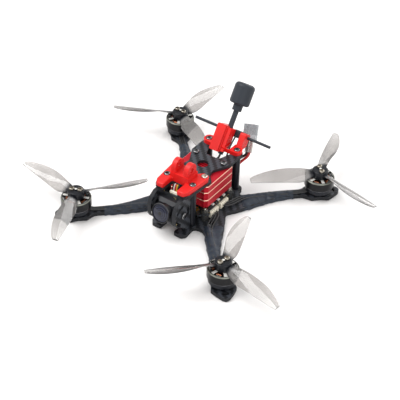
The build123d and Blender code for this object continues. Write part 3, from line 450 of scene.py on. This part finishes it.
def coated_glass(place, axis):
    """Dark coated lens glass: navy, with the rings of the inner lens seats round its optical axis, and a
    painted bluish reflection where it is seen aslant.
    """
    made = Finish(
        "coated_lens", (0.004, 0.006, 0.014), 0.03, Coat_Weight=0.2, Coat_Roughness=0.02, IOR=1.4,
    )
    tree = made.tree
    seat_pitch = 0.0012  # from one lens seat to the next
    offset = stretched(tree, made.place, UNSCALED, move=place)
    along = tree.nodes.new("ShaderNodeVectorMath")
    along.operation = "CROSS_PRODUCT"
    feed(tree, along.inputs[0], offset)
    along.inputs[1].default_value = axis
    length = tree.nodes.new("ShaderNodeVectorMath")
    length.operation = "LENGTH"
    feed(tree, length.inputs[0], along.outputs[0])
    radius = length.outputs["Value"]
    pupil = smooth_step(tree, radius, 0.0016, 0.0011)
    wave = maths(tree, "SINE", maths(tree, "MULTIPLY", radius, 2 * pi / seat_pitch))
    ring = smooth_step(tree, wave, 0.2, 0.9)
    # Bluer and brighter where the glass is seen aslant: a painted reflection of the coating.
    facing = tree.nodes.new("ShaderNodeLayerWeight")
    facing.inputs["Blend"].default_value = 0.3
    tint = blend_colours(tree, facing.outputs["Facing"], (0.002, 0.003, 0.010), (0.010, 0.012, 0.034))
    ringed = blend_colours(tree, maths(tree, "MULTIPLY", ring, 0.7), tint, (0.035, 0.04, 0.075))
    haze = noise(tree, made.place, 900.0, 2.0)
    made.set("Base Color", blend_colours(tree, pupil, ringed, (0.001, 0.001, 0.002)))
    made.set("Roughness", maths(tree, "MULTIPLY_ADD", haze, 0.06, 0.03))
    return made.material


def cloth_tape():
    """Blue-black cloth tape: creases, and a fine basket weave that follows the wrap's own UV map."""
    made = Finish("cloth_tape", (0.014, 0.016, 0.022), 0.55, Specular_IOR_Level=0.3)
    tree = made.tree
    around, along, _ = split(tree, tree.nodes["Texture Coordinate"].outputs["UV"])
    threads = 260.0  # radians of weave over the map's width
    weft = maths(tree, "SINE", maths(tree, "MULTIPLY", around, threads))
    warp = maths(tree, "SINE", maths(tree, "MULTIPLY", along, threads * 1.6))
    weave = maths(tree, "MULTIPLY_ADD", maths(tree, "MULTIPLY", weft, warp), 0.5, 0.5)
    grain = made.effect(grain_effect, Vector=made.place, Scale=1500.0)
    crease = noise(tree, stretched(tree, made.place, (260.0, 260.0, 90.0)), 1.0, 5.0, 0.65)
    base = blend_colours(tree, grain["Slow"], (0.010, 0.015, 0.024), (0.023, 0.032, 0.048))
    paler_share = maths(tree, "MULTIPLY", weave, 0.35)
    made.set("Base Color", blend_colours(tree, paler_share, base, (0.036, 0.044, 0.058)))
    made.set("Roughness", maths(tree, "MULTIPLY_ADD", crease, 0.35, 0.32))
    made.bump(maths(tree, "ADD", maths(tree, "MULTIPLY", weave, 0.12), crease), 0.0004, 0.55)
    return made.material


def board(name, mask, pad_tint):
    """Circuit board: solder mask with buried tracks and small plated pads."""
    made = Finish(name, mask, 0.35, Coat_Weight=0.3, Coat_Roughness=0.2)
    tree = made.tree
    cells = tree.nodes.new("ShaderNodeTexVoronoi")
    cells.distance = "CHEBYCHEV"
    feed(tree, cells.inputs["Vector"], stretched(tree, made.place, (520.0, 520.0, 520.0)))
    cells.inputs["Scale"].default_value = 1.0
    pads = smooth_step(tree, cells.outputs["Distance"], 0.2, 0.16)
    tracks = noise(tree, stretched(tree, made.place, (900.0, 260.0, 400.0)), 1.0, 1.0)
    raised = smooth_step(tree, tracks, 0.5, 0.54)
    lighter = tuple(2.2 * c for c in mask)
    base = blend_colours(tree, raised, mask, lighter)
    made.set("Base Color", blend_colours(tree, pads, base, pad_tint))
    made.set("Metallic", maths(tree, "MULTIPLY", pads, 0.9))
    made.set("Roughness", blend_values(tree, pads, 0.42, 0.24))
    made.bump(maths(tree, "ADD", raised, pads), 0.00004, 0.4)
    return made.material


def chips():
    """Parts on the control board: black packages, with pale, brass and steel ones by place."""
    made = Finish("board_packages", (0.02, 0.02, 0.02), 0.4)
    tree = made.tree
    x, y, _ = split(tree, made.place)
    grain = made.effect(grain_effect, Vector=made.place, Scale=3000.0)
    outer = smooth_step(tree, maths(tree, "ABSOLUTE", x), 0.0102, 0.0106)
    pale_turn = 1083.0  # radians per metre: one pale package every 5.8 mm
    stripe = maths(tree, "GREATER_THAN", maths(tree, "SINE", maths(tree, "MULTIPLY", y, pale_turn)), 0.2)
    pale = maths(tree, "MULTIPLY", outer, stripe)
    front = maths(tree, "LESS_THAN", y, -0.0124)
    gold = maths(tree, "MULTIPLY", front, maths(tree, "GREATER_THAN", x, 0.0045))
    dark = blend_colours(tree, grain["Slow"], (0.012, 0.012, 0.013), (0.035, 0.035, 0.037))
    base = blend_colours(tree, pale, dark, (0.8, 0.79, 0.76))
    steel = blend_colours(tree, front, base, (0.55, 0.55, 0.54))
    made.set("Base Color", blend_colours(tree, gold, steel, (0.75, 0.5, 0.08)))
    made.set("Metallic", front)
    made.bump(grain["Fine"], 0.00002, 0.3)
    return made.material


def laminated_iron(name):
    """Stack of thin iron sheets under dark lacquer."""
    made = Finish(name, (0.09, 0.095, 0.1), 0.42, 0.8)
    tree = made.tree
    _, _, z = split(tree, made.place)
    ridges = made.effect(ridge_effect, Vector=made.place, Along=z, Pitch=0.00022)["Ridge"]
    made.set("Base Color", blend_colours(tree, ridges, (0.03, 0.032, 0.035), (0.13, 0.135, 0.14)))
    made.bump(ridges, 0.00004, 0.6)
    return made.material


def wound_copper():
    """Enamelled copper wire laid in level windings, painted darker in the grooves between them: painted
    shade.
    """
    made = Finish("wound_copper", (0.62, 0.26, 0.09), 0.28, 1.0, Coat_Weight=0.4, Coat_Roughness=0.1)
    tree = made.tree
    _, _, z = split(tree, made.place)
    turns_and_groove_shade = made.effect(ridge_effect, Vector=made.place, Along=z, Pitch=0.00045)["Ridge"]
    # The grooves between windings are painted darker: painted shade; the windings' relief itself comes
    # from the bump.
    made.set("Base Color", blend_colours(tree, turns_and_groove_shade, (0.2, 0.06, 0.03), (0.62, 0.24, 0.12)))
    made.bump(turns_and_groove_shade, 0.00012, 0.8)
    return made.material


def cream_socket():
    """Cream moulded socket, brown where the contacts are, by distance from the middle."""
    made = Finish("cream_socket", (0.8, 0.75, 0.62), 0.45)
    tree = made.tree
    x, y, _ = split(tree, made.place)
    grain = made.effect(grain_effect, Vector=made.place, Scale=2400.0)
    base = blend_colours(tree, grain["Slow"], (0.7, 0.65, 0.52), (0.84, 0.8, 0.67))
    slot_turn = 3900.0  # radians per metre: one contact every 1.6 mm
    slots = maths(tree, "GREATER_THAN", maths(tree, "SINE", maths(tree, "MULTIPLY", y, slot_turn)), 0.86)
    outer = smooth_step(tree, maths(tree, "ABSOLUTE", x), 0.0146, 0.0152)
    brown = maths(tree, "MULTIPLY", outer, slots)
    made.set("Base Color", blend_colours(tree, brown, base, (0.34, 0.27, 0.18)))
    made.bump(grain["Fine"], 0.00003, 0.3)
    return made.material


def clear(name, colour, roughness, transmission):
    """Clear or pale translucent plastic, faintly cloudy."""
    made = Finish(name, colour, roughness, Transmission_Weight=transmission, IOR=1.45)
    cloud = noise(made.tree, made.place, 300.0, 3.0)
    made.set("Roughness", maths(made.tree, "MULTIPLY_ADD", cloud, 0.2, roughness - 0.08))
    made.bump(cloud, 0.0001, 0.3)
    return made.material


tilt_axle = next(joint["pos_m"] for joint in frame["joints"] if joint["name"] == "camera_tilt")
camera_rise = radians(15.0)  # the camera's upward slope at rest
camera_axis = (0.0, -cos(camera_rise), sin(camera_rise))

finishes = {
    "carbon": carbon("carbon_flat"),
    "carbon_side": carbon("carbon_upright", upright=True),
    "red_metal": anodised("red_anodised", (0.6, 0.007, 0.022), (0.95, 0.62, 0.46)),
    "black_metal": anodised("black_anodised", (0.014, 0.016, 0.022), (0.12, 0.12, 0.13)),
    "red_print": printed("red_printed", (0.72, 0.011, 0.008), (0.52, 0.006, 0.006)),
    "black_screw": metal("black_oxide_steel", (0.28, 0.28, 0.285), (0.14, 0.14, 0.144), 0.15),
    "bright_screw": metal("bright_steel", (0.72, 0.69, 0.62), (0.46, 0.43, 0.38), 0.24),
    "brass_screw": metal("tinted_steel", (0.36, 0.33, 0.28), (0.2, 0.18, 0.15), 0.24),
    "bearing": metal("bearing_steel", (0.66, 0.66, 0.66), (0.5, 0.5, 0.5), 0.18),
    "magnet": metal("plated_magnet", (0.55, 0.55, 0.54), (0.36, 0.36, 0.36), 0.3),
    "iron": laminated_iron("stator_sheets"),
    "copper": wound_copper(),
    "tape": cloth_tape(),
    "wire_black": silicone("black_silicone", (0.013, 0.013, 0.014), (0.03, 0.03, 0.031)),
    "wire_red": silicone("red_silicone", (0.5, 0.012, 0.012), (0.36, 0.008, 0.008)),
    "wire_yellow": silicone("yellow_silicone", (0.7, 0.45, 0.03), (0.55, 0.34, 0.02)),
    "wire_white": silicone("white_silicone", (0.7, 0.68, 0.64), (0.55, 0.53, 0.5)),
    "bush": plastic("soft_bush", (0.02, 0.02, 0.02), (0.035, 0.035, 0.035), 0.6),
    "camera": plastic(
        "camera_shell", (0.011, 0.012, 0.015), (0.02, 0.021, 0.026), 0.48, Specular_IOR_Level=0.3,
    ),
    "camera_metal": anodised("lens_barrel", (0.018, 0.018, 0.02), (0.07, 0.07, 0.075), 0.36),
    "antenna": plastic(
        "antenna_shell", (0.016, 0.02, 0.027), (0.026, 0.031, 0.04), 0.5, Specular_IOR_Level=0.3,
    ),
    "glass": coated_glass(tilt_axle, camera_axis),
    "board": board("control_board", (0.012, 0.014, 0.016), (0.72, 0.55, 0.24)),
    "chips": chips(),
    "socket": cream_socket(),
    "sleeve": clear("clear_sleeve", (0.86, 0.85, 0.82), 0.22, 0.85),
    "plug": clear("pale_plug", (0.46, 0.48, 0.5), 0.25, 0.5),
}


def dress(node, finish):
    """Gives a CAD node its finish."""
    mesh = frame["nodes"][node].data
    mesh.materials.clear()
    mesh.materials.append(finish)


FINISH_OF = {
    "base_plate": "carbon",
    "top_plate": "carbon",
    "camera_bracket_left": "carbon_side",
    "camera_bracket_right": "carbon_side",
    "standoffs": "black_metal",
    "base_screws": "black_screw",
    "top_screws": "black_screw",
    "wing_screws": "bright_screw",
    "motor_bases": "black_metal",
    "motor_bearings": "bearing",
    "motor_screws": "bright_screw",
    "motor_stators": "iron",
    "motor_windings": "copper",
    "flight_board": "board",
    "board_parts": "chips",
    "lead_plugs": "socket",
    "stack_grommets": "bush",
    "stack_screws": "bright_screw",
    "transmitter_lower": "red_metal",
    "transmitter_middle": "red_metal",
    "transmitter_upper": "red_metal",
    "transmitter_board": "board",
    "transmitter_screws": "black_screw",
    "receiver_board": "board",
    "camera_case": "camera",
    "camera_barrel": "camera_metal",
    "camera_glass": "glass",
    "camera_board": "board",
    "camera_plug": "socket",
    "camera_screws": "black_screw",
    "front_mount": "red_print",
    "rear_mount": "red_print",
    "antenna_stem": "antenna",
    "antenna_cap": "antenna",
    "receiver_rod": "antenna",
    "battery_sleeve": "sleeve",
    "battery_plug": "plug",
}
for node_name, finish_name in FINISH_OF.items():
    dress(node_name, finishes[finish_name])
for motor, _, _ in MOTORS:
    middle = motor_places[f"rotor_{motor}"]
    spoke_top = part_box(f"propeller_{motor}")[0].z
    dress(f"bell_{motor}", turned_bell(f"bell_{motor}", middle, spoke_top))
    dress(f"magnets_{motor}", finishes["magnet"])
    dress(f"propeller_{motor}", smoke_clear(f"smoke_{motor}", middle))
    dress(f"propeller_screws_{motor}", finishes["brass_screw"])


# ------------------------------------------------------------------ surfaces
def surface(name, points, finish, close_rows=False, uv_size=None):
    """Mesh of a grid of points, rows by columns; columns always close, rows close when asked."""
    rows, columns, _ = points.shape
    row_end = rows if close_rows else rows - 1
    i, j = np.meshgrid(np.arange(row_end), np.arange(columns), indexing="ij")
    below, beside = (i + 1) % rows, (j + 1) % columns
    quads = np.stack(
        [i * columns + j, i * columns + beside, below * columns + beside, below * columns + j], axis=-1
    ).reshape(-1, 4)
    mesh = bpy.data.meshes.new(name)
    mesh.from_pydata(points.reshape(-1, 3).tolist(), [], quads.tolist())
    if uv_size:
        layer = mesh.uv_layers.new(name="wrap")
        u = np.stack([j, j + 1, j + 1, j], axis=-1) / columns * uv_size[0]
        v = np.stack([i, i, i + 1, i + 1], axis=-1) / rows * uv_size[1]
        layer.data.foreach_set("uv", np.stack([u, v], axis=-1).astype(np.float32).ravel())
    mesh.polygons.foreach_set("use_smooth", np.ones(len(mesh.polygons), bool))
    mesh.materials.append(finish)
    made = bpy.data.objects.new(name, mesh)
    bpy.context.scene.collection.objects.link(made)
    return made


def joined(name, parts):
    """One object made of several."""
    with bpy.context.temp_override(active_object=parts[0], selected_editable_objects=parts):
        bpy.ops.object.join()
    parts[0].name = name
    parts[0].data.name = name
    return parts[0]


# both edges of an arm, in millimetres: along the arm from the middle of the frame, and across it
FLANK = np.array(
    [(20.5, 12.3), (29.9, 9.3), (36.7, 6.9), (43.4, 4.9), (50.0, 3.5), (56.5, 2.7), (64.5, 2.8)]
)
OUTER = np.array([(20.0, -2.9), (31.0, -2.2), (40.0, -2.9), (50.0, -3.2), (64.5, -2.8)])
tape_start, tape_end = 25.5, 58.6
tape_pitch = 9.5  # distance between turns of the wrap
lead_middle = 0.25  # middle of the three motor leads, across the arm


def arm_point(along, across, side_x, side_y):
    """Place on an arm, in millimetres."""
    root = sqrt(0.5)
    return side_x * (along + across) * root, side_y * (along - across) * root


def tape_wrap(side_x, side_y, seed):
    """Tape wound round one arm, a closed skin with an outer and an inner wall.

    Round the arm the section is a rounded rectangle, sign(cos a)|cos a|^0.42 across and
    sign(sin a)|sin a|^0.42 high, whose top rises in a cosine hump over the three wires. Along the
    arm its offset falls by a tape's thickness over each turn of a helix, and low waves of random
    phase, running aslant, crease it.
    """
    chance = np.random.default_rng(seed)
    rows, columns = 150, 96
    squareness = 0.42
    lap_step, lap_rise = 0.2, 0.04  # the tape's thickness, and the share of a turn it rises in
    longest_wave = 9.0
    hump_half, hump_rise = 2.9, 1.05
    outer_gap, inner_gap = 0.14, 0.012  # how far each wall stands off the arm's edges
    over_gap, under_gap = 0.12, 0.10  # further clearance above the arm, and below it
    along = np.linspace(tape_start, tape_end, rows)[:, None]
    angle = np.linspace(0, 2 * pi, columns, endpoint=False)[None, :]
    flank = np.interp(along, FLANK[:, 0], FLANK[:, 1])
    outer = np.interp(along, OUTER[:, 0], OUTER[:, 1])
    middle, half = (flank + outer) / 2, (flank - outer) / 2
    wide = np.sign(np.cos(angle)) * np.abs(np.cos(angle)) ** squareness
    high = np.sign(np.sin(angle)) * np.abs(np.sin(angle)) ** squareness
    turn = ((along + tape_pitch * angle / (2 * pi)) / tape_pitch) % 1.0
    lap = lap_step * (1 - turn) * np.clip(turn / lap_rise, 0, 1)
    crease = np.zeros((rows, columns))
    for _ in range(14):
        length = chance.uniform(2.2, longest_wave)
        slope = chance.integers(-2, 3)
        phase = chance.uniform(0, 2 * pi)
        wave = np.sin(2 * pi * along / length + slope * angle + phase)
        crease = crease + length / longest_wave * 0.05 * wave
    sharp = 0.10 * np.abs(np.sin(pi * along / 6.3 + 1.5 * np.sin(angle + seed))) ** 6
    from_leads = middle + half * wide - lead_middle
    over_leads = np.abs(from_leads) < hump_half
    hump = np.where(over_leads, 0.5 + 0.5 * np.cos(pi * from_leads / hump_half), 0)
    top = base_top + hump_rise * hump + over_gap
    walls = []
    for grow in (outer_gap + lap + crease + sharp, np.full((rows, columns), inner_gap)):
        across = middle + (half + grow) * wide
        under = under_gap + np.clip(grow, -0.05, 0.32)
        lift = np.where(high > 0, high * (top + grow), high * under)
        walls.append(np.stack([np.broadcast_to(along, across.shape), across, lift], axis=-1))
    skin = np.concatenate([walls[0], walls[1][::-1]], axis=0)
    x, y = arm_point(skin[..., 0], skin[..., 1], side_x, side_y)
    points = np.stack([x, y, skin[..., 2]], axis=-1) * MM
    if side_x * side_y > 0:
        points = points[:, ::-1]
    return surface(
        f"tape_{seed}", points, finishes["tape"], close_rows=True, uv_size=(1.0, 2.2),
    )


wraps = [tape_wrap(side_x, side_y, seed) for seed, (_, side_x, side_y) in enumerate(MOTORS)]
tape = joined("arm_tape_wraps", wraps)
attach(tape, "frame")
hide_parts("arm_tapes")


# ------------------------------------------------------------------ wires
def wire(name, points, radius, finish, body="frame"):
    """Held wire: a round tube along a smooth NURBS line with these control points, in millimetres."""
    curve = bpy.data.curves.new(name, "CURVE")
    curve.dimensions = "3D"
    spline = curve.splines.new("NURBS")
    spline.points.add(len(points) - 1)
    for point, place in zip(spline.points, points):
        point.co = (*[MM * value for value in place], 1.0)
    spline.order_u = 3
    spline.use_endpoint_u = True
    spline.resolution_u = 12
    curve.bevel_depth = radius * MM
    curve.bevel_resolution = 4
    curve.use_fill_caps = True
    curve.materials.append(finish)
    made = bpy.data.objects.new(name, curve)
    bpy.context.scene.collection.objects.link(made)
    if body:
        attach(made, body)
    return made


plug_middles = (-6.0, 4.6)  # along Y: the two plugs in front, the two behind
plug_outer = 15.6  # the plugs' outer face, from the middle
plug_level = 4.7
pin_pitch = 1.6
lead_radius = 0.5
lead_spacing = 1.2
height = base_top + 0.05 + lead_radius  # of a lead that lies on its arm
motor_wires = []
for motor, side_x, side_y in MOTORS:
    plug_y = plug_middles[0] if side_y < 0 else plug_middles[1]
    for rank in (-1, 0, 1):
        across = lead_middle + lead_spacing * rank
        out_y = plug_y - side_y * rank * pin_pitch
        route = [
            (side_x * (plug_outer - 0.6), out_y, plug_level),
            (side_x * (plug_outer + 1.9 + 1.3 * rank), out_y, plug_level),
            (*arm_point(26.5 + lead_spacing * rank, across + 0.6, side_x, side_y), height + 0.1),
            (*arm_point(36.0, across, side_x, side_y), height),
            (*arm_point(arm_end - 14.0, across, side_x, side_y), height),
            (*arm_point(arm_end - 9.0, across * 0.95, side_x, side_y), height + 0.25),
            (*arm_point(arm_end - 6.2, across * 0.8, side_x, side_y), height + 0.9),
        ]
        label = f"lead_{motor}_{'abc'[rank + 1]}"
        motor_wires.append(wire(label, route, lead_radius, finishes["wire_black"]))
for lead in motor_wires:
    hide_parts("motor_leads")

battery_gauge = 0.85  # radius of a battery wire
red_route = [
    (6.4, 17.2, 8.9), (6.2, 21.6, 10.4), (6.6, 28.0, 14.0), (9.0, 31.8, 18.2), (11.7, 34.0, 21.2),
    (11.7, 36.4, 23.6), (9.9, 40.3, 29.0),
]
red_lead = wire("battery_lead_red", red_route, battery_gauge, finishes["wire_red"])
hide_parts("battery_wire_red")

black_route = [
    (3.4, 17.2, 8.9), (3.4, 22.0, 10.4), (4.0, 28.8, 14.4), (6.4, 33.3, 18.4), (9.9, 35.4, 21.2),
    (9.8, 35.8, 23.7), (8.0, 39.7, 29.1),
]
black_lead = wire("battery_lead_black", black_route, battery_gauge, finishes["wire_black"])
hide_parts("battery_wire_black")

video_route = [(0, 14.45, 24.6), (0, 17.2, 24.3), (0, 19.7, 23.9), (0, 21.0, 25.71)]
video_lead = wire("video_coax_lead", video_route, 0.65, finishes["wire_black"])
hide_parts("video_coax")

receiver_route = [
    (4.6, 15.9, 21.6), (4.6, 18.4, 21.8), (5.0, 20.4, 26.4), (5.0, 22.6, 30.2), (4.8, 26.0, 33.4),
    (4.4, 31.2, 35.9),
]
receiver_lead = wire("receiver_coax_lead", receiver_route, 0.5, finishes["wire_black"])
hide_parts("receiver_coax")

CAMERA_ROUTE = [
    (0, -26.0, 25.4), (0, -25.2, 29.8), (0, -24.0, 29.8), (0, -23.8, 25.4), (0, -19.2, 22.0),
    (0, -16.8, 21.6), (0, -14.2, 21.6),
]
CAMERA_TINTS = ("wire_black", "wire_white", "wire_red", "wire_yellow", "wire_black")
strand_pitch = 1.05  # between strands, in the plugs
strand_radius = 0.36
for index, tint in enumerate(CAMERA_TINTS):
    shift = strand_pitch * (index - 2)
    lift = 0.12 * (index % 2)
    bundled = [(x + 0.85 * shift, y, z + lift) for x, y, z in CAMERA_ROUTE[1:-1]]
    first, last = [(x + shift, y, z + lift) for x, y, z in (CAMERA_ROUTE[0], CAMERA_ROUTE[-1])]
    spread = [first, *bundled, last]
    label = f"camera_strand_{index}"
    strand = wire(label, spread, strand_radius, finishes[tint], body=None)
    settled = bpy.context.evaluated_depsgraph_get()
    shape = bpy.data.meshes.new_from_object(strand.evaluated_get(settled))
    mesh_strand = bpy.data.objects.new(f"camera_wire_{index}", shape)
    bpy.context.scene.collection.objects.link(mesh_strand)
    bpy.data.objects.remove(strand)
    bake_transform(mesh_strand)
    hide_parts("camera_cable")


# ------------------------------------------------------------------ stage, light, camera
def floor():
    """Pale matte floor under the lowest point."""
    mesh = bpy.data.meshes.new("floor")
    reach, level = 3.0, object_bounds()[0].z - 0.00002
    corners = [(x * reach, y * reach, level) for x, y in ((-1, -1), (1, -1), (1, 1), (-1, 1))]
    mesh.from_pydata(corners, [], [(0, 1, 2, 3)])
    made = Finish("pale_floor", (0.82, 0.81, 0.8), 0.75)
    cloud = noise(made.tree, made.place, 6.0, 2.0)
    made.set("Base Color", blend_colours(made.tree, cloud, (0.80, 0.785, 0.775), (0.82, 0.808, 0.80)))
    mesh.materials.append(made.material)
    plane = bpy.data.objects.new("floor", mesh)
    bpy.context.scene.collection.objects.link(plane)
    plane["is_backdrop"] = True


def soft_light(name, place, aim, size, power):
    """Square soft box aimed at a point."""
    lamp = bpy.data.lights.new(name, "AREA")
    lamp.size = size
    lamp.energy = power
    made = bpy.data.objects.new(name, lamp)
    bpy.context.scene.collection.objects.link(made)
    direction = np.array(aim) - np.array(place)
    made.location = place
    made.rotation_mode = "QUATERNION"
    made.rotation_quaternion = Vector(direction).to_track_quat("-Z", "Y")


floor()
soft_light("key", (-0.55, -0.35, 1.15), (0, 0, 0.02), 0.9, 15.0)
soft_light("fill", (0.9, -0.5, 0.8), (0, 0, 0.02), 1.0, 6.0)
soft_light("back", (0.1, 1.1, 0.7), (0, 0, 0.02), 0.8, 7.0)
world = bpy.data.worlds.new("studio")
bpy.context.scene.world = world
world.use_nodes = True
world.node_tree.nodes["Background"].inputs["Color"].default_value = (1.0, 1.0, 1.0, 1.0)
world.node_tree.nodes["Background"].inputs["Strength"].default_value = 0.75
bpy.context.scene.view_settings.view_transform = "Standard"

lens = bpy.data.cameras.new("camera")
lens.sensor_width = 36.0
lens.lens = 103.04
viewer = bpy.data.objects.new("camera", lens)
bpy.context.scene.collection.objects.link(viewer)
right, up, back = (0.818, 0.5744, 0.0292), (-0.3745, 0.4933, 0.7851), (0.4366, -0.6532, 0.6187)
seat = (0.3063, -0.4576, 0.4367)
rows = [(*axes, place) for axes, place in zip(zip(right, up, back), seat)]
viewer.matrix_world = Matrix([*rows, (0, 0, 0, 1)])
bpy.context.scene.camera = viewer
